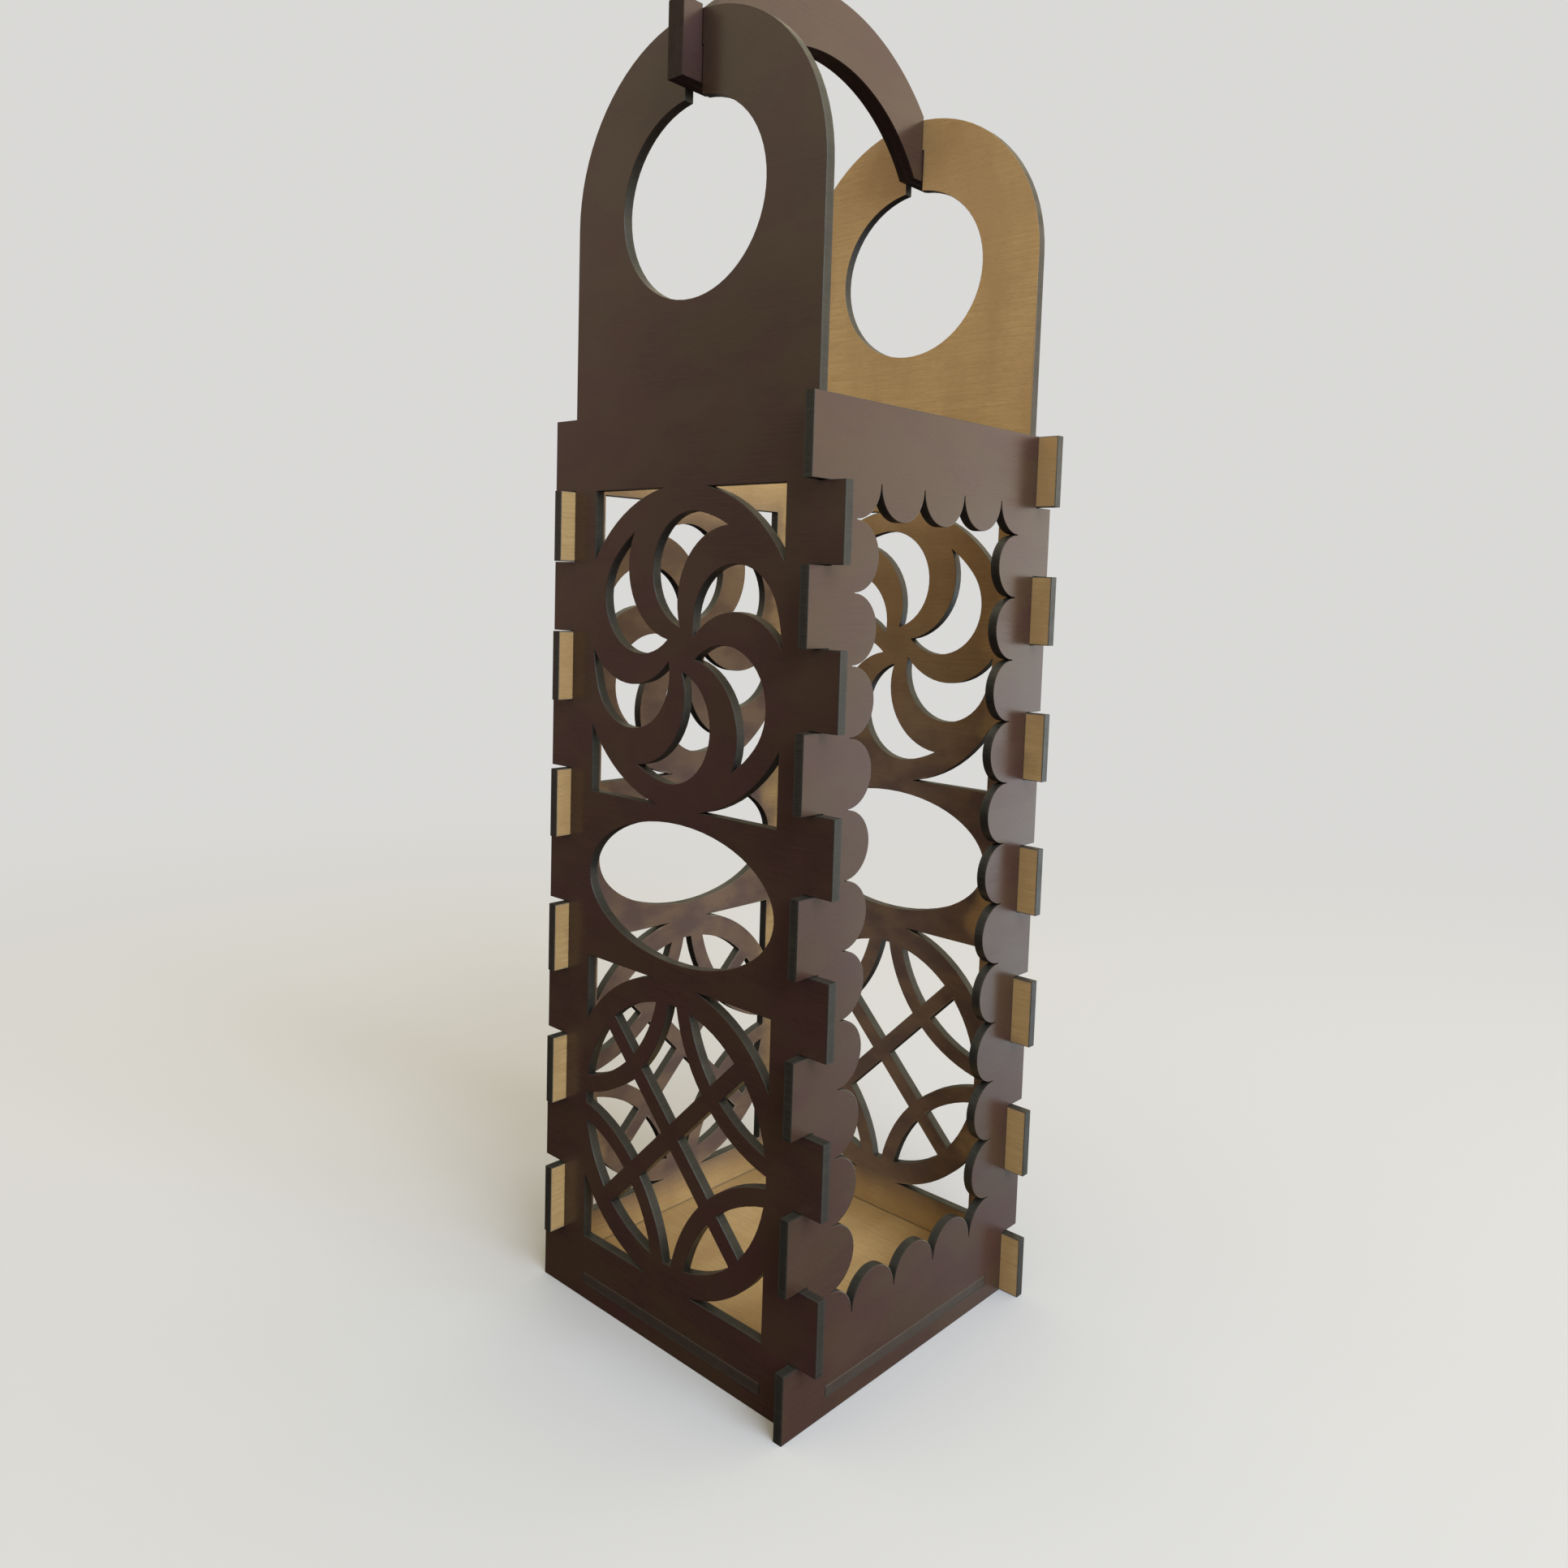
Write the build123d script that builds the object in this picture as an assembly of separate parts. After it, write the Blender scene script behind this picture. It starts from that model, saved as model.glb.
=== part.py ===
from build123d import *
import math
import os

# A bottle caddy glued from laser-cut plywood sheet. X runs to the right across the front panel, Y runs
# from the front panel to the rear panel and Z runs up. The origin is the middle of the box's footprint,
# on the plane that it stands on. Lengths are in millimetres and angles in degrees.

# The sheet, and the play that the cuts leave between pieces
sheet = 3.0
fit_gap = 0.1
handle_slot_gap = 0.3
overrun = 1.0

# The box: outer faces of the side panels along X, outer faces of the tall panels along Y
box_width = 103.0
box_depth = 100.0

# Box joints: how far the fingers stand out past the neighbouring face, and the rows from the top down
tall_finger_overhang = 6.5
side_finger_overhang = 5.2
row_count = 13
top_row_height = 21.2
row_pitch = 20.9
bottom_row_height = 18.9

# The arch on each tall panel and the bands of wood that the hand hole leaves beside and above it
arch_straight_height = 55.2
hand_hole_side_band = 20.4
hand_hole_top_band = 22.1

# The ring windows of the tall and left panels, stacked from the sill up with the oval between them
sill_height = 20.1
ring_clip = 1.0
lower_bridge = 6.0
oval_half_height = 20.0
upper_bridge = 4.5
ring_inner_radius = 38.3
ring_width = 7.2

# The swirl rosette: each hole is a lobe that touches the ring, less a bite
swirl_count = 6
swirl_lobe_radius = 16.2
swirl_lobe_angle = 80.0
swirl_bite_radius = 21.0
swirl_bite_offset = 23.2
swirl_bite_angle = 34.8

# The lattice: two straight bars and four bowed straps of one width
strap_width = 5.2
strap_bow_radius = 44.2
strap_pinch = 0.7
bar_angle = 45.0

# The scalloped window of the right panel: lobes along the four sides of an upright rectangle
scallops_across = 5
scallops_up = 13
scallop_pitch = 18.7
scallop_slit = 0.2
scallop_base_height = 24.9

# The floor plate: height of its underside and half the length of its tabs
floor_height = 5.3
floor_tab_half_length = 38.0

# The handle: a flat hook past each tall panel and an arched grip between the panels
handle_over_hole = 2.8
hook_reach = 6.8
hook_over_arch = 0.8
grip_half_span = 43.0
grip_rise = 23.9
crest_rise = 21.0
lap_share = 0.5

# Heights and half widths that follow from the sizes above
shoulder_height = bottom_row_height + (row_count - 2) * row_pitch + top_row_height
tall_core = box_width / 2 - sheet - fit_gap
tall_reach = box_width / 2 + tall_finger_overhang
side_core = box_depth / 2 - sheet - fit_gap
side_reach = box_depth / 2 + side_finger_overhang
arch_centre_height = shoulder_height + arch_straight_height
arch_top = arch_centre_height + tall_core
hand_hole_half_width = tall_core - hand_hole_side_band
hand_hole_half_height = tall_core - hand_hole_top_band
ring_outer_radius = ring_inner_radius + ring_width
window_height = 2 * (ring_outer_radius - ring_clip)
lattice_centre_height = sill_height + window_height / 2
oval_centre_height = sill_height + window_height + lower_bridge + oval_half_height
rosette_centre_height = oval_centre_height + oval_half_height + upper_bridge + window_height / 2
handle_under = arch_centre_height + hand_hole_half_height + handle_over_hole
hook_top = arch_top + hook_over_arch
lap_height = handle_under + lap_share * (arch_top - handle_under)


def rect_between(left, right, low, high):
    """Return the rectangle between two upright and two level lines."""
    middle = Pos((left + right) / 2, (low + high) / 2)
    return middle * Rectangle(right - left, high - low)


def row_edges():
    """Return the heights where one row of fingers ends and the next starts, from the bottom up."""
    rows = [0, bottom_row_height]
    for _ in range(row_count - 2):
        rows.append(rows[-1] + row_pitch)
    rows.append(shoulder_height)
    return rows


def edge_notches(core, reach):
    """Return the notches of a panel seen from outside.

    The left edge keeps a finger in the bottom row and every second row above it, and the right edge keeps
    the rows between, so four panels chase each other round the box.
    """
    rows = row_edges()
    notches = []
    for row in range(row_count):
        low = rows[row] - fit_gap / 2
        high = rows[row + 1] + fit_gap / 2
        if row == 0:
            low = -overrun
        if row == row_count - 1:
            high = shoulder_height + overrun
        if row % 2 == 0:
            notches.append(rect_between(core, reach + overrun, low, high))
        else:
            notches.append(rect_between(-reach - overrun, -core, low, high))
    return notches


def floor_slot():
    """Return the slot that takes one tab of the floor plate."""
    half_length = floor_tab_half_length + fit_gap
    return rect_between(-half_length, half_length, floor_height - fit_gap, floor_height + sheet + fit_gap)


def polar(radius, angle):
    """Return the point at a distance from the middle, in a direction counted from the right."""
    return Vector(radius * math.cos(math.radians(angle)), radius * math.sin(math.radians(angle)))


def circles_meet(centre_a, radius_a, centre_b, radius_b, side):
    """Return where two circles cross, to the left (side 1) or right (side -1) of the line from a to b."""
    line = centre_b - centre_a
    along = (radius_a**2 - radius_b**2 + line.length**2) / (2 * line.length)
    across = math.sqrt(radius_a**2 - along**2)
    ahead = line.normalized()
    left = Vector(-ahead.Y, ahead.X)
    return centre_a + ahead * along + left * (side * across)


def swirl_hole():
    """Return one hole of the rosette: along the ring, round the lobe and back along the bite."""
    middle = Vector(0, 0)
    lobe = polar(ring_inner_radius - swirl_lobe_radius, swirl_lobe_angle)
    bite = polar(swirl_bite_offset, swirl_bite_angle)
    outer_tip = circles_meet(middle, ring_inner_radius, bite, swirl_bite_radius, 1)
    inner_tip = circles_meet(lobe, swirl_lobe_radius, bite, swirl_bite_radius, -1)
    touch = polar(ring_inner_radius, swirl_lobe_angle)
    tip_angle = math.degrees(math.atan2(outer_tip.Y, outer_tip.X))
    ring_middle = polar(ring_inner_radius, (tip_angle + swirl_lobe_angle) / 2)
    lobe_far = lobe + (lobe - bite).normalized() * swirl_lobe_radius
    bite_near = bite + (lobe - bite).normalized() * swirl_bite_radius
    outline = [
        ThreePointArc(outer_tip, ring_middle, touch),
        ThreePointArc(touch, lobe_far, inner_tip),
        ThreePointArc(inner_tip, bite_near, outer_tip),
    ]
    return make_face(outline)


def rosette():
    """Return the six holes of the rosette about its own middle."""
    hole = swirl_hole()
    return [Rot(0, 0, turn * 360 / swirl_count) * hole for turn in range(swirl_count)]


def lattice():
    """Return the holes between the bars and bowed straps inside the ring, about its own middle."""
    holes = Circle(ring_inner_radius)
    for turn in (bar_angle, -bar_angle):
        holes -= Rot(0, 0, turn) * Rectangle(2 * ring_outer_radius, strap_width)
    bow_centre = strap_bow_radius + strap_width / 2 + strap_pinch
    strap = Circle(strap_bow_radius + strap_width / 2) - Circle(strap_bow_radius - strap_width / 2)
    for across in (-bow_centre, bow_centre):
        for up in (-bow_centre, bow_centre):
            holes -= Pos(across, up) * strap
    return holes


def ring_corners():
    """Return the four corner holes between the ring and its upright window, about the ring's middle."""
    return Rectangle(2 * ring_inner_radius, window_height) - Circle(ring_outer_radius)


def openwork():
    """Return the holes of the three windows of a panel: lattice, oval and rosette."""
    holes = [Pos(0, rosette_centre_height) * hole for hole in rosette()]
    holes.append(Pos(0, rosette_centre_height) * ring_corners())
    holes.append(Pos(0, oval_centre_height) * Ellipse(ring_inner_radius, oval_half_height))
    holes.append(Pos(0, lattice_centre_height) * lattice())
    holes.append(Pos(0, lattice_centre_height) * ring_corners())
    return holes


def handle_slot():
    """Return the slot that rises from the hand hole and takes both plies of the handle."""
    half_width = sheet + handle_slot_gap
    return rect_between(-half_width, half_width, arch_centre_height, lap_height)


def tall_panel():
    """Return a tall panel, outer face up, seen from outside with its foot on the level line."""
    body = rect_between(-tall_reach, tall_reach, 0, shoulder_height)
    body -= edge_notches(tall_core, tall_reach)
    body += rect_between(-tall_core, tall_core, shoulder_height - top_row_height, arch_centre_height)
    body += Pos(0, arch_centre_height) * Circle(tall_core)
    body -= Pos(0, arch_centre_height) * Ellipse(hand_hole_half_width, hand_hole_half_height)
    body -= handle_slot()
    body -= openwork()
    body -= floor_slot()
    return body


def scalloped_window():
    """Return the scalloped window: an upright rectangle less the lobes that line it."""
    across = (scallops_across - 1) * scallop_pitch
    up = (scallops_up - 1) * scallop_pitch
    window = rect_between(-across / 2, across / 2, scallop_base_height, scallop_base_height + up)
    lobe = Circle((scallop_pitch - scallop_slit) / 2)
    for column in range(scallops_across):
        for row in range(scallops_up):
            if column in (0, scallops_across - 1) or row in (0, scallops_up - 1):
                place = Pos(column * scallop_pitch - across / 2, scallop_base_height + row * scallop_pitch)
                window -= place * lobe
    return window


def side_panel(holes):
    """Return a side panel with the given holes, outer face up, with its foot on the level line."""
    body = rect_between(-side_reach, side_reach, 0, shoulder_height)
    body -= edge_notches(side_core, side_reach)
    body -= holes
    body -= floor_slot()
    return body


def floor_plate():
    """Return the floor, with its tabs flush with the outer faces of the four panels."""
    outline = Rectangle(2 * tall_core, 2 * side_core)
    outline += Rectangle(box_width, 2 * floor_tab_half_length)
    outline += Rectangle(2 * floor_tab_half_length, box_depth)
    return extrude(Pos(0, 0, floor_height) * outline, amount=sheet)


def handle_outline():
    """Return the handle seen from the right: hooks past the panels, notches for them, arched grip."""
    end = box_depth / 2 + hook_reach
    notch_out = box_depth / 2 + fit_gap
    notch_in = box_depth / 2 - sheet - fit_gap
    notch_floor = lap_height - fit_gap
    outline = [
        Polyline((-grip_half_span, handle_under), (-end, handle_under), (-end, hook_top),
                 (-notch_out, hook_top), (-notch_out, notch_floor), (-notch_in, notch_floor),
                 (-notch_in, hook_top)),
        ThreePointArc((-notch_in, hook_top), (0, hook_top + crest_rise), (notch_in, hook_top)),
        Polyline((notch_in, hook_top), (notch_in, notch_floor), (notch_out, notch_floor),
                 (notch_out, hook_top), (end, hook_top), (end, handle_under),
                 (grip_half_span, handle_under)),
        ThreePointArc((grip_half_span, handle_under), (0, handle_under + grip_rise),
                      (-grip_half_span, handle_under)),
    ]
    return Plane.YZ * make_face(outline)


def build_caddy():
    """Return every piece of the caddy by its name, in its place."""
    front_face = Plane(origin=(0, -box_depth / 2, 0), x_dir=(1, 0, 0), z_dir=(0, -1, 0))
    left_face = Plane(origin=(-box_width / 2, 0, 0), x_dir=(0, -1, 0), z_dir=(-1, 0, 0))
    half_turn = Rot(0, 0, 180)
    tall = extrude(front_face * tall_panel(), amount=-sheet)
    ringed_side = extrude(left_face * side_panel(openwork()), amount=-sheet)
    scalloped_side = extrude(left_face * side_panel(scalloped_window()), amount=-sheet)
    handle = handle_outline()
    return {
        "front_panel": tall,
        "rear_panel": half_turn * tall,
        "left_panel": ringed_side,
        "right_panel": half_turn * scalloped_side,
        "floor_plate": floor_plate(),
        "handle_left_ply": extrude(handle, amount=-sheet),
        "handle_right_ply": extrude(handle, amount=sheet),
    }


os.makedirs("parts", exist_ok=True)
for name, piece in build_caddy().items():
    export_step(piece, f"parts/{name}.step")
    box = piece.bounding_box()
    print(f"{name}: {len(piece.solids())} solid, volume {piece.volume:.0f}, height {box.size.Z:.2f}")
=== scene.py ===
"""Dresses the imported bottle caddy.

Its laser-cut plywood boards are stained outside, bare inside and charred on every cut.
"""

import logging
import math
from dataclasses import dataclass
from enum import Enum
from typing import Any

import bmesh
import bpy
from mathutils import Matrix, Vector

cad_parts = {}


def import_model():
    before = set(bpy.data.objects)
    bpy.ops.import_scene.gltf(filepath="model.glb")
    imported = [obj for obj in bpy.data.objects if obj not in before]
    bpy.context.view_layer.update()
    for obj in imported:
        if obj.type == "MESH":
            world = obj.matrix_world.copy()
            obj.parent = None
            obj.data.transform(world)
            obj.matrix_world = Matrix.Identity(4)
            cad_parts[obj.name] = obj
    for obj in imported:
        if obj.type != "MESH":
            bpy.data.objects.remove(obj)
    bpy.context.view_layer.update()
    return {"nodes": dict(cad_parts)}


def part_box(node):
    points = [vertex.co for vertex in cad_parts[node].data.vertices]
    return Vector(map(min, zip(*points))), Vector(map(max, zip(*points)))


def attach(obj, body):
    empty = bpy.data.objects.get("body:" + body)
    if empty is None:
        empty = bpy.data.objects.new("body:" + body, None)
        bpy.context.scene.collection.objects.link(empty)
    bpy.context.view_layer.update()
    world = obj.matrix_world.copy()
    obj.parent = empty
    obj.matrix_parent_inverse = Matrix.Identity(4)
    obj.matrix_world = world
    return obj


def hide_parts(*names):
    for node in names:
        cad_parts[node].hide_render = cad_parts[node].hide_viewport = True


LOG = logging.getLogger("caddy")
BODY = "root"

Colour = tuple[float, float, float, float]
Band = tuple[float, float]
Socket = bpy.types.NodeSocket
Plug = float | tuple[float, ...] | Socket

MILLIMETRE = 0.001

NOISE_MIDDLE = 0.5

# Where a Mix node has its share and its colours among its inputs, and the mixed colour among its
# outputs.
MIX_SHARE, MIX_FIRST, MIX_SECOND = 0, 6, 7
MIX_RESULT = 2


class Side(Enum):
    """Where a face of a board lies, and so the place of its finish among the board's materials."""

    OUTER = 0
    INNER = 1
    CUT = 2


class Dress(Enum):
    """How a board is finished.

    A panel is stained outside and bare inside, the grip is stained on both faces, and the floor is
    bare on both faces with sanded tab ends.
    """

    PANEL = "panel"
    GRIP = "grip"
    FLOOR = "floor"


class Mark(Enum):
    """The attributes that a board's mesh carries for its finishes."""

    BOARD = "board"
    SCORCH = "scorch"
    # How strongly painted shade browns the inner face over the field of the windows.
    SMOKE = "smoke"


@dataclass(frozen=True)
class Pattern:
    """A noise in a board's own directions.

    Args:
        along: the length of its patches along the grain, in metres.
        across: their width across the grain.
        detail: the noise's octaves.
        shift: an offset that makes another noise of the same kind.
        through: the depth of the patches; by default they run straight through the sheet.
    """

    along: float
    across: float
    detail: float
    shift: float = 0.0
    through: float = 1.0


@dataclass
class Graph:
    """A node tree that is being wired."""

    tree: bpy.types.NodeTree

    def add(self, kind: str, settings: dict[str, Any] | None = None) -> bpy.types.Node:
        """Adds a node.

        Args:
            kind: the node's type name.
            settings: its properties by name.

        Returns:
            The new node.
        """
        node = self.tree.nodes.new(kind)
        for name, value in (settings or {}).items():
            setattr(node, name, value)
        return node

    def plug(self, socket: Socket, value: Plug) -> None:
        """Feeds a socket.

        Args:
            socket: the input to feed.
            value: a socket, which is linked to it, or its own number or colour.
        """
        if isinstance(value, Socket):
            self.tree.links.new(value, socket)
        else:
            socket.default_value = value

    def math(self, operation: str, *values: Plug) -> Socket:
        """Adds a Math node.

        Args:
            operation: the node's operation.
            values: its one to three values.

        Returns:
            The result.
        """
        node = self.add("ShaderNodeMath", {"operation": operation})
        for socket, value in zip(node.inputs, values):
            self.plug(socket, value)
        return node.outputs[0]

    def glide(self, value: Plug, band: Band, start: Plug = 0.0, end: Plug = 1.0) -> Socket:
        """Adds a smooth step.

        Args:
            value: what the step follows.
            band: the values between which it moves.
            start: the result below the band.
            end: the result above it.

        Returns:
            The result.
        """
        node = self.add("ShaderNodeMapRange", {"interpolation_type": "SMOOTHSTEP"})
        for socket, plug in zip(node.inputs, (value, *band, start, end)):
            self.plug(socket, plug)
        return node.outputs[0]

    def blend(self, share: Plug, first: Plug, second: Plug, kind: str = "MIX") -> Socket:
        """Adds a mix of two colours.

        Args:
            share: how far the mix has gone, from 0 to 1.
            first: the colour at 0.
            second: the colour at 1, or what is added to the first there.
            kind: MIX or ADD.

        Returns:
            The mixed colour.
        """
        node = self.add("ShaderNodeMix", {"data_type": "RGBA", "blend_type": kind})
        for place, value in ((MIX_SHARE, share), (MIX_FIRST, first), (MIX_SECOND, second)):
            self.plug(node.inputs[place], value)
        return node.outputs[MIX_RESULT]

    def attribute(self, mark: Mark, output: str) -> Socket:
        """Returns one output of the attribute that a mark names."""
        node = self.add("ShaderNodeAttribute", {"attribute_name": mark.value})
        return node.outputs[output]

    def parts(self, vector: Socket) -> dict[str, Socket]:
        """Takes a vector apart.

        Args:
            vector: the vector.

        Returns:
            Its parts by the names X, Y and Z.
        """
        node = self.add("ShaderNodeSeparateXYZ")
        self.plug(node.inputs[0], vector)
        return {output.name: output for output in node.outputs}

    def noise(self, pattern: Pattern) -> Socket:
        """Adds a noise in the board's own directions.

        Args:
            pattern: the size and detail of its patches.

        Returns:
            The noise, from about 0.2 to 0.8.
        """
        mapping = self.add("ShaderNodeMapping")
        self.plug(mapping.inputs["Vector"], self.attribute(Mark.BOARD, "Vector"))
        mapping.inputs["Location"].default_value = (pattern.shift, pattern.shift, pattern.shift)
        sizes = (pattern.along, pattern.across, pattern.through)
        mapping.inputs["Scale"].default_value = [1 / size for size in sizes]
        texture = self.add("ShaderNodeTexNoise")
        self.plug(texture.inputs["Vector"], mapping.outputs["Vector"])
        texture.inputs["Scale"].default_value = 1.0
        texture.inputs["Detail"].default_value = pattern.detail
        return texture.outputs[0]

    def strayed(self, value: Socket, pattern: Pattern, width: float) -> Socket:
        """Moves a value up and down by a noise.

        Args:
            value: the value.
            pattern: the noise's patches.
            width: how far the noise moves it between 0 and 1.

        Returns:
            The moved value.
        """
        stray = self.math("SUBTRACT", self.noise(pattern), NOISE_MIDDLE)
        return self.math("ADD", value, self.math("MULTIPLY", stray, width))

    def shaders(self, share: Socket, first: Socket, second: Socket) -> Socket:
        """Adds a mix of two shaders.

        Args:
            share: how far the mix has gone, from 0 to 1.
            first: the shader at 0.
            second: the shader at 1.

        Returns:
            The mixed shader.
        """
        node = self.add("ShaderNodeMixShader")
        for socket, value in zip(node.inputs, (share, first, second)):
            self.plug(socket, value)
        return node.outputs[0]

    def surface(self, colour: Plug, roughness: Plug, height: Socket, relief: float,
                gleam: float = 0.5, gleam_tint: Colour = (1.0, 1.0, 1.0, 1.0)) -> None:
        """Wires colour, roughness and a bump to a Principled shader and to the output.

        Args:
            colour: the base colour.
            roughness: the roughness.
            height: the bump's height, from 0 to 1.
            relief: the real height of the bump, in metres.
            gleam: how strongly the surface mirrors, where 0.5 is varnish.
            gleam_tint: the tint of what it mirrors.
        """
        bump = self.add("ShaderNodeBump")
        bump.inputs["Strength"].default_value = 1.0
        bump.inputs["Distance"].default_value = relief
        self.plug(bump.inputs["Height"], height)
        shader = self.add("ShaderNodeBsdfPrincipled")
        self.plug(shader.inputs["Base Color"], colour)
        self.plug(shader.inputs["Roughness"], roughness)
        self.plug(shader.inputs["Normal"], bump.outputs["Normal"])
        shader.inputs["Specular IOR Level"].default_value = gleam
        shader.inputs["Specular Tint"].default_value = gleam_tint
        output = self.add("ShaderNodeOutputMaterial")
        self.plug(output.inputs["Surface"], shader.outputs["BSDF"])


def new_material(name: str) -> tuple[bpy.types.Material, Graph]:
    """Makes an empty node material.

    Args:
        name: the material's name.

    Returns:
        The material, and the graph of its tree.
    """
    material = bpy.data.materials.new(name)
    material.use_nodes = True
    material.node_tree.nodes.clear()
    return material, Graph(material.node_tree)


@dataclass(frozen=True)
class Drawing:
    """A veneer's figure as it is wired in one material.

    Args:
        streaks: the streaks and the fibre together, from about 0.3 to 0.7.
        pores: how much of a pore there is at a place.
        patches: the broad patches, from 0 to 1.
    """

    streaks: Socket
    pores: Socket
    patches: Socket


@dataclass(frozen=True)
class Veneer:
    """The figure of a peeled veneer under varnish: streaks, fibre, pores and broad uneven patches.

    Args:
        dark: the colour of the darker streaks.
        light: the colour of the lighter streaks.
        patch: the colour of the broad patches.
        patch_share: how far a patch covers the streaks.
        pore: the colour of the pores.
        pore_share: how far a pore covers what is round it.
        smooth: the roughness of the varnish where the wood is sealed well.
        dull: its roughness where it is worn.
        streaks: the noise of the streaks.
        fibres: the noise of the fibre.
        flecks: the noise of the pores.
        spread: the noise of the patches.
        streak_band: the streaks that go from dark to light.
        fleck_band: the flecks that go from wood to pore.
        spread_band: the spread that goes from streaks to patch.
        patch_wear: how much more a patch is worn.
        light_wear: how much more a light streak is worn.
        wear_band: the wear that goes from smooth to dull.
        relief: the height of the figure under the varnish, in metres.
    """

    dark: Colour
    light: Colour
    patch: Colour
    patch_share: float
    pore: Colour
    pore_share: float
    smooth: float
    dull: float
    streaks: Pattern = Pattern(along=0.030, across=0.0008, detail=3.0)
    fibres: Pattern = Pattern(along=0.007, across=0.00026, detail=2.0, shift=3.1)
    flecks: Pattern = Pattern(along=0.0024, across=0.00015, detail=1.0, shift=5.3)
    spread: Pattern = Pattern(along=0.050, across=0.024, detail=3.0, shift=7.7)
    streak_band: Band = (0.34, 0.66)
    fleck_band: Band = (0.60, 0.74)
    spread_band: Band = (0.36, 0.68)
    patch_wear: float = 0.6
    light_wear: float = -0.8
    wear_band: Band = (-0.55, 0.35)
    relief: float = 0.000010

    def draw(self, graph: Graph) -> Drawing:
        """Draws the veneer's figure.

        Args:
            graph: the finish's node tree.

        Returns:
            The figure's streaks, pores and patches.
        """
        both = graph.math("ADD", graph.noise(self.streaks), graph.noise(self.fibres))
        return Drawing(
            streaks=graph.math("MULTIPLY", both, 0.5),
            pores=graph.glide(graph.noise(self.flecks), self.fleck_band, 0.0, self.pore_share),
            patches=graph.glide(graph.noise(self.spread), self.spread_band))

    def wood(self, graph: Graph, drawing: Drawing) -> Socket:
        """Colours the veneer away from its cuts.

        Args:
            graph: the finish's node tree.
            drawing: the veneer's figure there.

        Returns:
            The colour.
        """
        colour = graph.blend(graph.glide(drawing.streaks, self.streak_band), self.dark, self.light)
        patches = graph.math("MULTIPLY", drawing.patches, self.patch_share)
        return graph.blend(drawing.pores, graph.blend(patches, colour, self.patch), self.pore)

    def sheen(self, graph: Graph, drawing: Drawing) -> Socket:
        """Gives the varnish its roughness, duller in the patches and the dark streaks.

        Args:
            graph: the finish's node tree.
            drawing: the veneer's figure there.

        Returns:
            The roughness.
        """
        in_patches = graph.math("MULTIPLY", drawing.patches, self.patch_wear)
        in_streaks = graph.math("MULTIPLY", drawing.streaks, self.light_wear)
        worn = graph.math("ADD", in_patches, in_streaks)
        return graph.glide(worn, self.wear_band, self.smooth, self.dull)

    def varnish(self, graph: Graph, drawing: Drawing, colour: Socket, roughness: Socket) -> None:
        """Puts the varnish over a colour, sunk in the pores."""
        height = graph.math("SUBTRACT", drawing.streaks, drawing.pores)
        graph.surface(colour, roughness, height, self.relief)


@dataclass(frozen=True)
class StainedVeneer:
    """Dark walnut stain under a satin varnish, on the outer faces.

    Args:
        veneer: the stained veneer.
        olive: the colour where the stain turns olive.
        olive_share: how far that covers the veneer.
        olive_spread: the noise of the olive places.
        olive_band: the noise that goes from none to full.
        singed: the colour beside a cut.
        singed_share: how far that covers the veneer at the cut.
        singed_band: the scorch that goes from none to full.
        dust: the colour of the specks that dried into the varnish.
        dust_share: how far a speck covers the veneer.
        dust_spacing: how far the places where a speck may lie are apart, in metres.
        dust_reach: the speck's radius as a share of that spacing.
        dust_core: the share of its radius over which it is full.
        dust_chance: the places whose random number is above this have a speck.
    """

    veneer: Veneer = Veneer(
        dark=(0.0328, 0.0175, 0.0146, 1.0), light=(0.0452, 0.0240, 0.0190, 1.0),
        patch=(0.0415, 0.0178, 0.0164, 1.0), patch_share=0.8,
        pore=(0.014, 0.009, 0.007, 1.0), pore_share=0.45, smooth=0.22, dull=0.35)
    olive: Colour = (0.0435, 0.0285, 0.0158, 1.0)
    olive_share: float = 0.6
    olive_spread: Pattern = Pattern(along=0.022, across=0.013, detail=3.0, shift=11.3)
    olive_band: Band = (0.40, 0.62)
    singed: Colour = (0.020, 0.014, 0.012, 1.0)
    singed_share: float = 0.35
    singed_band: Band = (0.3, 1.0)
    dust: Colour = (0.24, 0.21, 0.18, 1.0)
    dust_share: float = 0.7
    dust_spacing: float = 0.007
    dust_reach: float = 0.022
    dust_core: float = 0.4
    dust_chance: float = 0.86

    def specks(self, graph: Graph) -> Socket:
        """Scatters the few specks of dust.

        Args:
            graph: the finish's node tree.

        Returns:
            How much of a speck there is at a place.
        """
        cells = graph.add("ShaderNodeTexVoronoi")
        graph.plug(cells.inputs["Vector"], graph.attribute(Mark.BOARD, "Vector"))
        cells.inputs["Scale"].default_value = 1 / self.dust_spacing
        split = graph.add("ShaderNodeSeparateColor")
        graph.plug(split.inputs[0], cells.outputs["Color"])
        chosen = graph.math("GREATER_THAN", split.outputs[0], self.dust_chance)
        rim = (self.dust_core * self.dust_reach, self.dust_reach)
        near = graph.glide(cells.outputs["Distance"], rim, self.dust_share, 0.0)
        return graph.math("MULTIPLY", near, chosen)

    def material(self) -> bpy.types.Material:
        """Makes the finish.

        Returns:
            The finish as a material.
        """
        material, graph = new_material("walnut_stain")
        drawing = self.veneer.draw(graph)
        colour = self.veneer.wood(graph, drawing)
        olive = graph.glide(graph.noise(self.olive_spread), self.olive_band, 0.0, self.olive_share)
        colour = graph.blend(olive, colour, self.olive)
        scorch = graph.attribute(Mark.SCORCH, "Fac")
        singe = graph.glide(scorch, self.singed_band, 0.0, self.singed_share)
        colour = graph.blend(singe, colour, self.singed)
        colour = graph.blend(self.specks(graph), colour, self.dust)
        self.veneer.varnish(graph, drawing, colour, self.veneer.sheen(graph, drawing))
        return material


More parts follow.
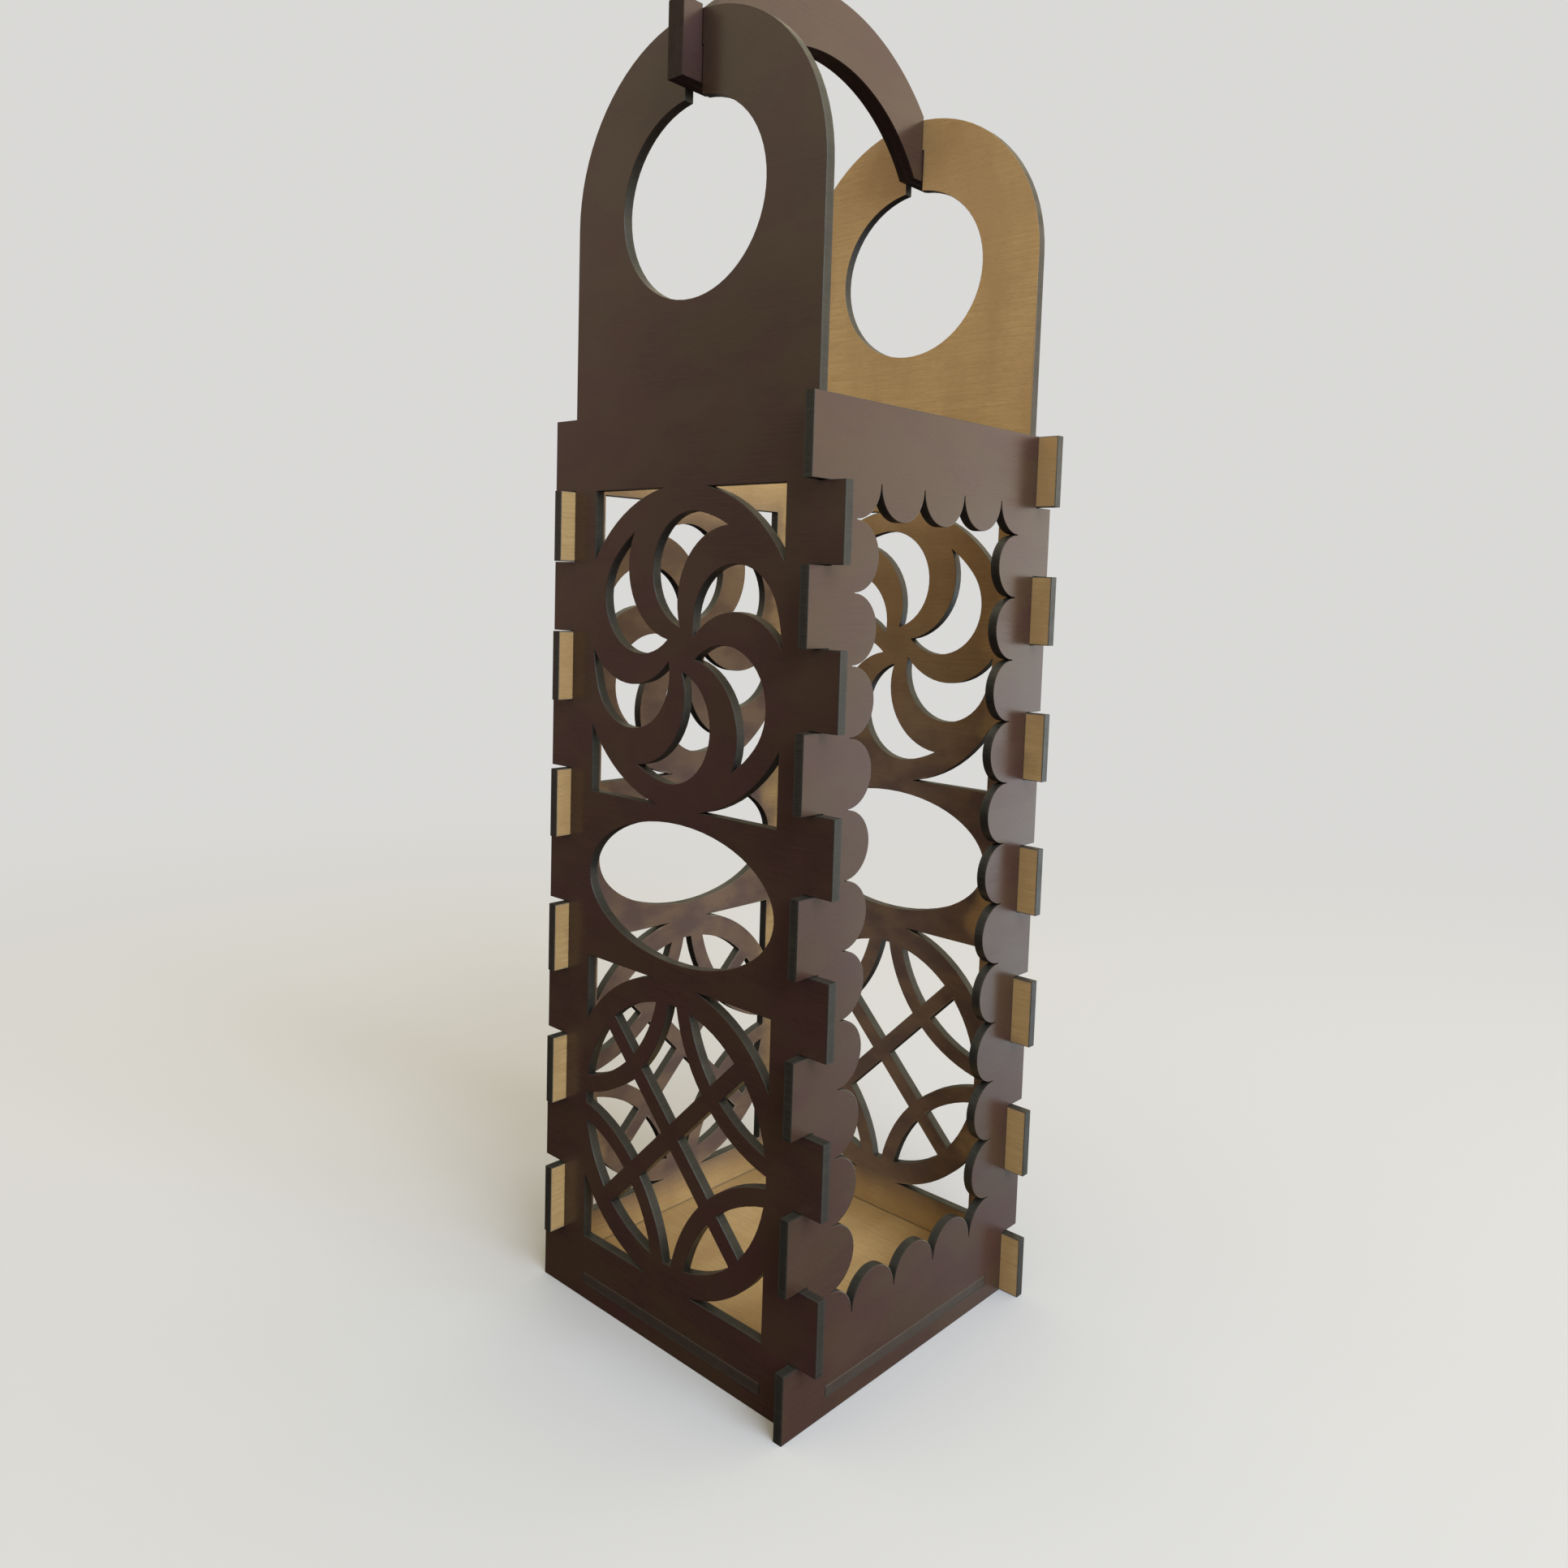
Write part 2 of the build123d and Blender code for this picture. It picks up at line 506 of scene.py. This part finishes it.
@dataclass(frozen=True)
class BareVeneer:
    """Unstained golden veneer under the same varnish, on the inner faces, smoked by the laser.

    The veneer is smoked grey beside each cut. Over the whole field of the windows a brown is
    painted shade, darker towards the bottom.

    Args:
        veneer: the veneer away from the smoke.
        smoked: its colour beside a cut.
        smoked_share: how far that covers the veneer.
        smoked_band: the reach of the scorch over which the veneer goes from clean to smoked.
        burnt: its colour at a cut.
        burnt_share: how far that covers the veneer.
        burnt_band: the reach of the scorch over which the veneer goes from smoked to burnt.
        wisps: the noise that frays the smoked band beside a cut.
        wisp_width: how far it frays it, as a share of the scorch.
        head_brown: the colour of the painted shade at the head of the field of the windows.
        foot_brown: the colour at the foot of that field.
        foot_painted_shade: how far the painted shade covers the veneer there.
        field_shade_roughness: the roughness of the varnish where the painted shade is full.
        field_half: how far the field reaches to each side of a panel's middle, and where its painted
        shade has gone.
        field_foot: the heights from which the painted shade begins and is full.
        field_turn: the heights between which the foot's painted shade gives way to the head's.
        field_head: the heights at which it is full and has gone.
        drift: the noise that makes the field's sides wander.
        drift_width: how far they wander, in metres.
        drops: the noise that makes the field's painted shade uneven.
        drop_band: the noise that goes from thin to thick painted shade.
        thin: the strength of the painted shade where it is thin.
        thick: its strength where it is thick.
    """

    veneer: Veneer = Veneer(
        dark=(0.395, 0.268, 0.116, 1.0), light=(0.490, 0.345, 0.160, 1.0),
        patch=(0.365, 0.238, 0.104, 1.0), patch_share=0.75,
        pore=(0.15, 0.095, 0.045, 1.0), pore_share=0.40, smooth=0.30, dull=0.42,
        spread=Pattern(along=0.014, across=0.038, detail=3.0, shift=7.7))
    smoked: Colour = (0.230, 0.185, 0.120, 1.0)
    smoked_share: float = 0.8
    smoked_band: Band = (0.1, 0.8)
    burnt: Colour = (0.075, 0.066, 0.052, 1.0)
    burnt_share: float = 0.4
    burnt_band: Band = (0.90, 1.25)
    wisps: Pattern = Pattern(along=0.004, across=0.004, detail=3.0, shift=1.9)
    wisp_width: float = 0.8
    head_brown: Colour = (0.098, 0.056, 0.030, 1.0)
    foot_brown: Colour = (0.095, 0.062, 0.053, 1.0)
    foot_painted_shade: float = 0.94
    field_shade_roughness: float = 0.85
    field_half: Band = (0.035, 0.046)
    field_foot: Band = (0.010, 0.024)
    field_turn: Band = (0.150, 0.225)
    field_head: Band = (0.238, 0.262)
    drift: Pattern = Pattern(along=0.022, across=0.018, detail=3.0, shift=6.1)
    drift_width: float = 0.030
    drops: Pattern = Pattern(along=0.016, across=0.009, detail=3.0, shift=8.9)
    drop_band: Band = (0.35, 0.65)
    thin: float = 0.86
    thick: float = 1.05

    def painted_field_shade(self, graph: Graph) -> tuple[Socket, Socket]:
        """Paints brown shade over the field of the windows.

        Args:
            graph: the finish's node tree.

        Returns:
            How far the painted shade covers the veneer, from 0 to 1, and its colour.
        """
        place = graph.parts(graph.add("ShaderNodeTexCoord").outputs["Object"])
        aside = graph.math("MINIMUM", graph.math("ABSOLUTE", place["X"]),
                           graph.math("ABSOLUTE", place["Y"]))
        aside = graph.strayed(aside, self.drift, self.drift_width)
        height = place["Z"]
        # Painted shade: fuller at the foot than at the head, where each board has its own share.
        share = graph.glide(height, self.field_turn, self.foot_painted_shade,
                            graph.attribute(Mark.SMOKE, "Fac"))
        for bound in (graph.glide(aside, self.field_half, 1.0, 0.0),
                      graph.glide(height, self.field_foot),
                      graph.glide(height, self.field_head, 1.0, 0.0),
                      graph.glide(graph.noise(self.drops), self.drop_band, self.thin, self.thick)):
            share = graph.math("MULTIPLY", share, bound)
        brown = graph.blend(graph.glide(height, self.field_turn), self.foot_brown, self.head_brown)
        return share, brown

    def material(self) -> bpy.types.Material:
        """Makes the finish.

        Returns:
            The finish as a material.
        """
        material, graph = new_material("bare_veneer")
        drawing = self.veneer.draw(graph)
        # Painted shade over the field of the windows, darker towards the bottom.
        field, brown = self.painted_field_shade(graph)
        colour = graph.blend(field, self.veneer.wood(graph, drawing), brown)
        reach = graph.strayed(graph.attribute(Mark.SCORCH, "Fac"), self.wisps, self.wisp_width)
        smoke = graph.glide(reach, self.smoked_band, 0.0, self.smoked_share)
        colour = graph.blend(smoke, colour, self.smoked)
        burn = graph.glide(reach, self.burnt_band, 0.0, self.burnt_share)
        colour = graph.blend(burn, colour, self.burnt)
        sheen = self.veneer.sheen(graph, drawing)
        roughness = graph.glide(field, (0.0, 1.0), sheen, self.field_shade_roughness)
        self.veneer.varnish(graph, drawing, colour, roughness)
        return material


@dataclass(frozen=True)
class CharredCut:
    """The laser's cut through three plies: charcoal with a faint sheen, fine upright lines and soot.

    Args:
        name: the material's name.
        thickness: the sheet's thickness.
        outer_ply: the colour of the two outer plies.
        core: the colour of the middle ply.
        ash: the colour of the fine upright lines.
        ash_share: how far a line covers the plies.
        ash_band: the noise that goes from ply to line.
        soot: the colour of the glue lines and of the sooty patches.
        soot_share: how far a patch covers the plies.
        soot_band: the noise that goes from ply to patch.
        glue_shares: the depths of the two glue lines, as shares of the thickness.
        glue_half_share: half the width of a glue line, as such a share.
        lines: the noise of the upright lines.
        patches: the noise of the sooty patches.
        relief: the height of the lines, in metres.
        smooth: the roughness away from the patches.
        dull: the roughness in them.
        dull_band: the noise that goes from smooth to dull.
        gleam: how strongly the cut mirrors, where 0.5 is varnish.
        gleam_tint: the tint of what it mirrors.
    """

    name: str
    thickness: float
    outer_ply: Colour = (0.022, 0.021, 0.018, 1.0)
    core: Colour = (0.017, 0.016, 0.014, 1.0)
    ash: Colour = (0.033, 0.033, 0.029, 1.0)
    ash_share: float = 0.6
    ash_band: Band = (0.35, 0.8)
    soot: Colour = (0.009, 0.009, 0.008, 1.0)
    soot_share: float = 0.5
    soot_band: Band = (0.5, 0.8)
    glue_shares: tuple[float, float] = (0.3, 0.7)
    glue_half_share: float = 0.04
    lines: Pattern = Pattern(along=0.00028, across=0.00028, through=0.006, detail=1.0, shift=2.3)
    patches: Pattern = Pattern(along=0.006, across=0.006, through=0.006, detail=3.0, shift=4.9)
    relief: float = 0.00002
    smooth: float = 0.30
    dull: float = 0.45
    dull_band: Band = (0.3, 0.7)
    gleam: float = 0.34
    gleam_tint: Colour = (0.84, 1.0, 1.0, 1.0)

    def plies(self, graph: Graph) -> Socket:
        """Colours the plies by the depth in the sheet.

        Args:
            graph: the finish's node tree.

        Returns:
            The colour.
        """
        place = graph.parts(graph.attribute(Mark.BOARD, "Vector"))
        node = graph.add("ShaderNodeValToRGB")
        graph.plug(node.inputs["Fac"], graph.math("DIVIDE", place["Z"], self.thickness))
        ramp = node.color_ramp
        first, second = self.glue_shares
        half = self.glue_half_share
        stops = [(0.0, self.outer_ply), (first - half, self.outer_ply), (first, self.soot),
                 (first + half, self.core), (second - half, self.core), (second, self.soot),
                 (second + half, self.outer_ply), (1.0, self.outer_ply)]
        while len(ramp.elements) < len(stops):
            ramp.elements.new(1.0)
        for element, (place_share, colour) in zip(ramp.elements, stops):
            element.position = place_share
            element.color = colour
        return node.outputs["Color"]

    def material(self) -> bpy.types.Material:
        """Makes the finish.

        Returns:
            The finish as a material.
        """
        material, graph = new_material(self.name)
        lines = graph.noise(self.lines)
        patches = graph.noise(self.patches)
        ash = graph.glide(lines, self.ash_band, 0.0, self.ash_share)
        colour = graph.blend(ash, self.plies(graph), self.ash)
        soot = graph.glide(patches, self.soot_band, 0.0, self.soot_share)
        colour = graph.blend(soot, colour, self.soot)
        roughness = graph.glide(patches, self.dull_band, self.smooth, self.dull)
        graph.surface(colour, roughness, lines, self.relief, self.gleam, self.gleam_tint)
        return material


@dataclass(frozen=True)
class Finishes:
    """The finishes that the boards share.

    Args:
        outer: the stained veneer.
        inner: the bare veneer.
        cut: the panels' cuts.
        grip_cut: the handle's cuts, which are stained.
        tab_end: the floor's cuts, whose tab ends show in the panels' long slots.
    """

    outer: bpy.types.Material
    inner: bpy.types.Material
    cut: bpy.types.Material
    grip_cut: bpy.types.Material
    tab_end: bpy.types.Material

    @classmethod
    def mixed(cls, thickness: float) -> "Finishes":
        """Makes the finishes.

        Args:
            thickness: the thickness of the boards' sheet.

        Returns:
            The finishes for that sheet.
        """
        grip_cut = CharredCut(
            "stained_grip_cut", thickness, outer_ply=(0.027, 0.018, 0.016, 1.0),
            core=(0.021, 0.014, 0.013, 1.0), ash=(0.034, 0.022, 0.019, 1.0),
            smooth=0.40, dull=0.55, gleam=0.1, gleam_tint=(1.0, 0.9, 0.9, 1.0))
        tab_end = CharredCut(
            "sanded_tab_end", thickness, outer_ply=(0.036, 0.026, 0.021, 1.0),
            core=(0.031, 0.023, 0.019, 1.0), ash=(0.048, 0.036, 0.030, 1.0),
            soot=(0.020, 0.015, 0.013, 1.0), gleam=0.55)
        return cls(
            outer=StainedVeneer().material(), inner=BareVeneer().material(),
            cut=CharredCut("charred_cut", thickness).material(),
            grip_cut=grip_cut.material(), tab_end=tab_end.material())

    def of(self, dress: Dress) -> tuple[bpy.types.Material, ...]:
        """Picks a board's materials.

        Args:
            dress: how the board is finished.

        Returns:
            Its materials in the order of Side.
        """
        faces = {Dress.PANEL: (self.outer, self.inner, self.cut),
                 Dress.GRIP: (self.outer, self.outer, self.grip_cut),
                 Dress.FLOOR: (self.inner, self.inner, self.tab_end)}
        return faces[dress]


@dataclass(frozen=True)
class Board:
    """One laser-cut piece, made from the frame's own node.

    Args:
        node: the CAD node that the board stands for.
        slot: the record's material slot; it is not used.
        outward: the direction that the outer face looks in.
        grain: the direction of the outer veneer's grain.
        number: the board's own number, which shifts its figure from the other boards'.
        dress: how it is finished.
        smoke: how far painted shade browns the inner face, at the head of the windows.
        edge_round: how far the varnish rounds each cut edge.
        round_steps: the number of facets of that rounding.
        scorch_width: how far the burn reaches into the faces.
        weld: how near two of the node's corners are that are one.
        flat_angle: the angle between two faces up to which they are one flat face.
        smooth_angle: the angle between two faces up to which light runs on over their edge.
        facing: the cosine over which a face belongs to a side of the sheet.
        figure_step: how far the figure moves from one board's number to the next.
        stale: the attributes of the node's own shading, which the board drops.
    """

    node: str
    slot: str
    outward: Vector
    grain: Vector
    number: int
    dress: Dress = Dress.PANEL
    smoke: float = 0.6
    edge_round: float = 0.15 * MILLIMETRE
    round_steps: int = 2
    scorch_width: float = 0.9 * MILLIMETRE
    weld: float = 0.001 * MILLIMETRE
    flat_angle: float = math.radians(0.3)
    smooth_angle: float = math.radians(15)
    facing: float = 0.9
    figure_step: Vector = Vector((0.37, 0.61, 0.0))
    stale: tuple[str, ...] = ("custom_normal", "sharp_edge", "sharp_face")

    @property
    def across(self) -> Vector:
        """The direction across the grain, in the plane of the sheet."""
        return self.outward.cross(self.grain)

    def side_of(self, face: bmesh.types.BMFace) -> Side:
        """Tells which side of the board a face belongs to.

        Args:
            face: a face of the board's mesh.

        Returns:
            The side.
        """
        turn = face.normal.dot(self.outward)
        if turn > self.facing:
            return Side.OUTER
        if turn < -self.facing:
            return Side.INNER
        return Side.CUT

    def is_rim(self, edge: bmesh.types.BMEdge) -> bool:
        """Returns whether an edge parts a face of the sheet from a cut."""
        sides = {self.side_of(face) for face in edge.link_faces}
        return Side.CUT in sides and len(sides) > 1

    def cut_out(self, source: bpy.types.Object) -> bmesh.types.BMesh:
        """Shapes the board: the node's own form with clean faces, a scorch band and rounded edges.

        Args:
            source: the CAD node's object, which is only read.

        Returns:
            The new mesh, which the caller frees.
        """
        bm = bmesh.new()
        bm.from_mesh(source.data)
        bmesh.ops.remove_doubles(bm, verts=bm.verts, dist=self.weld)
        bmesh.ops.dissolve_limit(bm, angle_limit=self.flat_angle, verts=bm.verts, edges=bm.edges)
        bm.normal_update()
        for side in (Side.OUTER, Side.INNER):
            faces = [face for face in bm.faces if self.side_of(face) is side]
            bmesh.ops.inset_region(bm, faces=faces, thickness=self.scorch_width, use_boundary=True)
        bm.normal_update()
        rims = [edge for edge in bm.edges if self.is_rim(edge)]
        bmesh.ops.bevel(bm, geom=rims, affect="EDGES", offset=self.edge_round,
                        segments=self.round_steps, profile=0.5, material=-1, loop_slide=True)
        bm.normal_update()
        return bm

    def mark(self, mesh: bpy.types.Mesh, bm: bmesh.types.BMesh) -> None:
        """Writes the attributes that the finishes read.

        Args:
            mesh: the board's mesh, made from bm.
            bm: the same mesh for its neighbourhoods.
        """
        face_depth = max(vertex.co.dot(self.outward) for vertex in bm.verts)
        moved = self.figure_step * self.number
        mesh.attributes.new(Mark.BOARD.value, "FLOAT_VECTOR", "POINT")
        mesh.attributes.new(Mark.SCORCH.value, "FLOAT", "POINT")
        mesh.attributes.new(Mark.SMOKE.value, "FLOAT", "POINT")
        board, scorch, smoke = (mesh.attributes[mark.value] for mark in Mark)
        for vertex in bm.verts:
            place = Vector((vertex.co.dot(self.grain), vertex.co.dot(self.across),
                            face_depth - vertex.co.dot(self.outward)))
            board.data[vertex.index].vector = place + moved
            burnt = any(self.side_of(face) is Side.CUT for face in vertex.link_faces)
            scorch.data[vertex.index].value = float(burnt)
            # Every corner carries the board's strength of painted shade.
            smoke.data[vertex.index].value = self.smoke

    def build(self, frame_nodes: dict[str, bpy.types.Object],
              finishes: Finishes) -> bpy.types.Object:
        """Makes the board and puts it in the node's place.

        Args:
            frame_nodes: the frame's nodes by name.
            finishes: the shared finishes.

        Returns:
            The new piece.
        """
        bm = self.cut_out(frame_nodes[self.node])
        for face in bm.faces:
            face.material_index = self.side_of(face).value
            face.smooth = True
        bm.verts.index_update()
        name = f"{self.node}_board"
        mesh = bpy.data.meshes.new(name)
        bm.to_mesh(mesh)
        self.mark(mesh, bm)
        bm.free()
        for attribute in self.stale:
            if attribute in mesh.attributes:
                mesh.attributes.remove(mesh.attributes[attribute])
        mesh.set_sharp_from_angle(angle=self.smooth_angle)
        for material in finishes.of(self.dress):
            mesh.materials.append(material)
        piece = bpy.data.objects.new(name, mesh)
        bpy.context.scene.collection.objects.link(piece)
        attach(piece, BODY)
        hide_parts(self.node)
        LOG.info("%s: %d faces", name, len(mesh.polygons))
        return piece


RIGHT = Vector((1, 0, 0))
REAR = Vector((0, 1, 0))
UP = Vector((0, 0, 1))


@dataclass(frozen=True)
class Caddy:
    """The whole caddy: four panels, the floor and the two plies of the handle."""

    boards: tuple[Board, ...]

    @classmethod
    def planned(cls) -> "Caddy":
        """Returns the caddy with every board named, turned and numbered."""
        return cls((
            Board("front_panel", "panel_ply", -REAR, RIGHT, 1),
            # The inner faces get lighter painted shade on the rear panel and darker on the left
            # panel.
            Board("rear_panel", "panel_ply", REAR, RIGHT, 2, smoke=0.45),
            Board("left_panel", "panel_ply", -RIGHT, REAR, 3, smoke=0.9),
            Board("right_panel", "panel_ply", RIGHT, REAR, 4),
            Board("floor_plate", "floor_ply", -UP, RIGHT, 5, Dress.FLOOR),
            Board("handle_left_ply", "handle_ply", -RIGHT, REAR, 6, Dress.GRIP),
            Board("handle_right_ply", "handle_ply", RIGHT, REAR, 7, Dress.GRIP),
        ))

    def build(self, frame_nodes: dict[str, bpy.types.Object]) -> list[bpy.types.Object]:
        """Builds every board.

        Args:
            frame_nodes: the frame's nodes by name.

        Returns:
            The pieces.
        """
        low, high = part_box("floor_plate")
        finishes = Finishes.mixed(high.z - low.z)
        return [board.build(frame_nodes, finishes) for board in self.boards]


@dataclass(frozen=True)
class PhotoCamera:
    """The camera as it stood for the photograph, in metres and in the photograph's pixels.

    Args:
        place: where its lens stood.
        heading: its turn about the upright axis.
        dip: how far it looked down.
        roll: its turn about its own line of sight.
        focal_pixels: its focal length.
        centre_x: how far the line of sight lies from the frame's left edge.
        centre_y: how far it lies from the frame's upper edge.
        frame_pixels: the frame's width and height.
        sensor: the width of the film, in millimetres.
        near: the distance from which it sees.
    """

    place: Vector = Vector((0.25178, -0.27741, 0.22131))
    heading: float = math.radians(42.18)
    dip: float = math.radians(4.83)
    roll: float = math.radians(1.82)
    focal_pixels: float = 1505.2
    centre_x: float = 987.9
    centre_y: float = 855.3
    frame_pixels: float = 1932.0
    sensor: float = 36.0
    near: float = 0.01

    def build(self) -> None:
        """Makes the camera and gives it to the scene."""
        data = bpy.data.cameras.new("photo_camera")
        data.sensor_width = self.sensor
        data.lens = self.focal_pixels * self.sensor / self.frame_pixels
        data.shift_x = (self.frame_pixels / 2 - self.centre_x) / self.frame_pixels
        data.shift_y = (self.centre_y - self.frame_pixels / 2) / self.frame_pixels
        data.clip_start = self.near
        camera = bpy.data.objects.new("photo_camera", data)
        level = Matrix.Rotation(math.radians(90) - self.dip, 4, "X")
        turned = Matrix.Rotation(self.heading, 4, "Z") @ level @ Matrix.Rotation(self.roll, 4, "Z")
        camera.matrix_world = Matrix.Translation(self.place) @ turned
        bpy.context.scene.collection.objects.link(camera)
        bpy.context.scene.camera = camera


@dataclass(frozen=True)
class Glow:
    """A soft bright part of the room round the caddy, with its angles in degrees.

    Args:
        heading: its direction about the upright axis, from the right towards the rear.
        rise: its height over the horizon.
        edge: how far from its middle it begins.
        core: how far from its middle it is full.
        colour: what it adds to the room's own light.
    """

    heading: float
    rise: float
    edge: float
    core: float
    colour: Colour

    def light_up(self, graph: Graph, direction: Socket, room: Socket | Colour) -> Socket:
        """Adds the glow to the room.

        Args:
            graph: the world's node tree.
            direction: the direction that is looked in.
            room: the room's colour there.

        Returns:
            The room's colour with the glow.
        """
        turn, rise, edge, core = (math.radians(angle) for angle in
                                  (self.heading, self.rise, self.edge, self.core))
        flat = math.cos(rise)
        dot = graph.add("ShaderNodeVectorMath", {"operation": "DOT_PRODUCT"})
        graph.plug(dot.inputs[0], direction)
        dot.inputs[1].default_value = (flat * math.cos(turn), flat * math.sin(turn), math.sin(rise))
        share = graph.glide(dot.outputs["Value"], (math.cos(edge), math.cos(core)))
        return graph.blend(share, room, self.colour, "ADD")


@dataclass(frozen=True)
class Studio:
    """A pale floor that fades into a pale background, a soft key lamp and a softly lit room.

    Args:
        pale: the colour of the background.
        sheet: the floor's colour as the camera sees it.
        bounce: the floor's colour as the caddy sees it.
        floor_radius: the radius of the floor, in metres.
        floor_sides: the number of its sides.
        fade: the distances between which it fades into the background.
        gloom: the room's colour away from its glows.
        glows: the bright parts of the room.
        low_share: the share of the room's light that is left below the horizon.
        low_band: how far below and over the horizon that share changes.
        key_place: where the key lamp is.
        key_aim: what it points at.
        key_size: its width.
        key_power: its power, in watts.
        key_tint: its colour.
    """

    pale: Colour = (0.70, 0.695, 0.68, 1.0)
    sheet: Colour = (0.44, 0.465, 0.505, 1.0)
    bounce: Colour = (0.25, 0.215, 0.255, 1.0)
    floor_radius: float = 4.0
    floor_sides: int = 96
    fade: Band = (0.22, 0.95)
    gloom: Colour = (0.06, 0.05, 0.045, 1.0)
    glows: tuple[Glow, ...] = (
        Glow(heading=0, rise=90, edge=100, core=30, colour=(1.20, 1.04, 0.72, 1.0)),
        Glow(heading=58, rise=-5, edge=60, core=14, colour=(1.60, 1.25, 0.94, 1.0)),
        Glow(heading=76, rise=-12, edge=28, core=8, colour=(1.20, 1.75, 2.15, 1.0)),
        Glow(heading=72, rise=-22, edge=20, core=6, colour=(1.10, 1.50, 1.80, 1.0)),
        Glow(heading=190, rise=0, edge=34, core=18, colour=(0.50, 0.27, 0.25, 1.0)),
        Glow(heading=248, rise=26, edge=24, core=6, colour=(0.50, 0.42, 0.28, 1.0)),
    )
    low_share: float = 0.12
    low_band: Band = (-0.6, 0.05)
    key_place: Vector = Vector((2.50, -0.50, 1.9))
    key_aim: Vector = Vector((0.0, 0.0, 0.18))
    key_size: float = 2.2
    key_power: float = 120.0
    key_tint: tuple[float, float, float] = (0.92, 1.0, 1.13)

    def floor(self) -> None:
        """Makes the floor, a round sheet that the glossy faces don't mirror."""
        bm = bmesh.new()
        bmesh.ops.create_circle(bm, cap_ends=True, segments=self.floor_sides,
                                radius=self.floor_radius)
        mesh = bpy.data.meshes.new("floor")
        bm.to_mesh(mesh)
        bm.free()
        floor = bpy.data.objects.new("floor", mesh)
        bpy.context.scene.collection.objects.link(floor)
        mesh.materials.append(self.floor_material())
        floor.visible_glossy = False

    def floor_material(self) -> bpy.types.Material:
        """Makes the floor's finish: pale to the camera, quieter to the caddy, and lost far away.

        Returns:
            The finish as a material.
        """
        material, graph = new_material("pale_floor")
        place = graph.add("ShaderNodeTexCoord").outputs["Object"]
        length = graph.add("ShaderNodeVectorMath", {"operation": "LENGTH"})
        graph.plug(length.inputs[0], place)
        far = graph.glide(length.outputs["Value"], self.fade)
        seen = graph.add("ShaderNodeLightPath").outputs["Is Camera Ray"]
        sheet = graph.add("ShaderNodeBsdfDiffuse")
        graph.plug(sheet.inputs["Color"], graph.blend(seen, self.bounce, self.sheet))
        glow = graph.add("ShaderNodeEmission")
        glow.inputs["Color"].default_value = self.pale
        lost = graph.math("MULTIPLY", far, seen)
        output = graph.add("ShaderNodeOutputMaterial")
        graph.plug(output.inputs["Surface"],
                   graph.shaders(lost, sheet.outputs[0], glow.outputs[0]))
        return material

    def surround(self) -> None:
        """Makes the world: pale for the camera, and for everything else the softly lit room."""
        world = bpy.data.worlds.new("surround")
        world.use_nodes = True
        world.node_tree.nodes.clear()
        graph = Graph(world.node_tree)
        direction = graph.add("ShaderNodeTexCoord").outputs["Generated"]
        room = self.gloom
        for glow in self.glows:
            room = glow.light_up(graph, direction, room)
        light = graph.add("ShaderNodeBackground")
        graph.plug(light.inputs["Color"], room)
        height = graph.parts(direction)["Z"]
        graph.plug(light.inputs["Strength"], graph.glide(height, self.low_band, self.low_share))
        pale = graph.add("ShaderNodeBackground")
        pale.inputs["Color"].default_value = self.pale
        seen = graph.add("ShaderNodeLightPath").outputs["Is Camera Ray"]
        output = graph.add("ShaderNodeOutputWorld")
        graph.plug(output.inputs["Surface"],
                   graph.shaders(seen, light.outputs[0], pale.outputs[0]))
        bpy.context.scene.world = world

    def key(self) -> None:
        """Makes the soft lamp, high up on the caddy's right and aimed at it."""
        data = bpy.data.lights.new("key", "AREA")
        data.shape = "SQUARE"
        data.size = self.key_size
        data.energy = self.key_power
        data.color = self.key_tint
        lamp = bpy.data.objects.new("key", data)
        aimed = (self.key_aim - self.key_place).to_track_quat("-Z", "Y").to_matrix().to_4x4()
        lamp.matrix_world = Matrix.Translation(self.key_place) @ aimed
        bpy.context.scene.collection.objects.link(lamp)

    def build(self) -> None:
        """Makes the floor, the surround and the lamp."""
        self.floor()
        self.surround()
        self.key()


def main() -> None:
    """Loads the frame, builds the caddy, the camera and the studio."""
    logging.basicConfig(level=logging.INFO, format="%(message)s")
    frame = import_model()
    bpy.context.scene.view_settings.view_transform = "Standard"
    pieces = Caddy.planned().build(frame["nodes"])
    PhotoCamera().build()
    Studio().build()
    bpy.context.view_layer.update()
    LOG.info("%d pieces", len(pieces))


if __name__ == "__main__":
    main()
